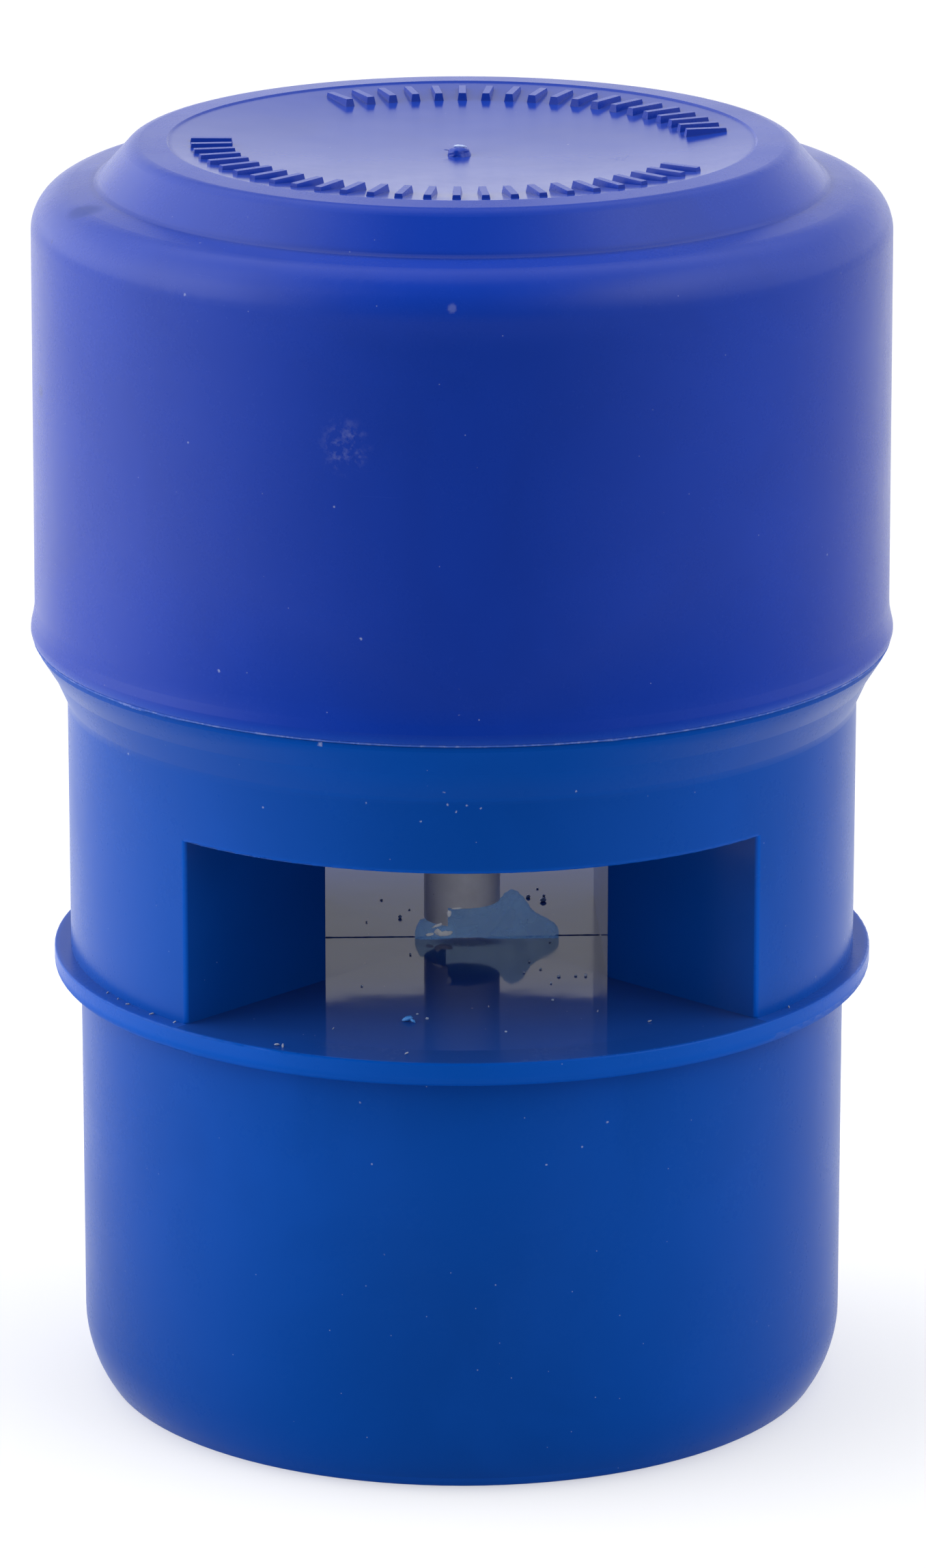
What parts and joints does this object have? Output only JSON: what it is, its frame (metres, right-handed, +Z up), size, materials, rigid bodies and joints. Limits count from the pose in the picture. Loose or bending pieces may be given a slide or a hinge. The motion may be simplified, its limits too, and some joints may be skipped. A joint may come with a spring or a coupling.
{
  "type": "drain pipe air admittance valve",
  "caption": "Push-fit drain vent valve: round spigot with stop flange, inlet body with through window, push-on cap and a gravity-closed sealing disc on a tubular stem.",
  "frame": {"origin": "centre of the spigot's bottom rim", "axes": "+Z up along the pipe axis, the front window faces -Y and the back window +Y"},
  "size_m": [0.056, 0.056, 0.0827],
  "materials": {
    "body_blue": "satin to gloss moulded polypropylene",
    "cap_blue": "satin moulded polypropylene",
    "tube_grey": "satin grey plastic tube",
    "flash": "thin pale stress-whitened polypropylene flash",
    "seal_black": "satin rubber",
    "plate_white": "satin natural polypropylene",
    "membrane_black": "matt rubber",
    "washer_white": "satin natural polypropylene",
    "clip_steel": "bright spring steel"
  },
  "bodies": {
    "housing": {"valve_body": "body_blue", "flash_scrap": "flash", "cap_seal_ring": "seal_black"},
    "closing_disc": {"stem_tube": "tube_grey", "valve_plate": "plate_white", "seal_membrane": "membrane_black", "clamp_washer": "washer_white", "retaining_clip": "clip_steel"},
    "cap": {"cap": "cap_blue"}
  },
  "joints": [
    {"name": "disc_lift", "type": "slide", "parent": "housing", "child": "closing_disc", "axis": [0, 0, 1], "range_m": [0, 0.008]},
    {"name": "cap_pull", "type": "slide", "parent": "housing", "child": "cap", "axis": [0, 0, 1], "range_m": [0, 0.032]}
  ]
}
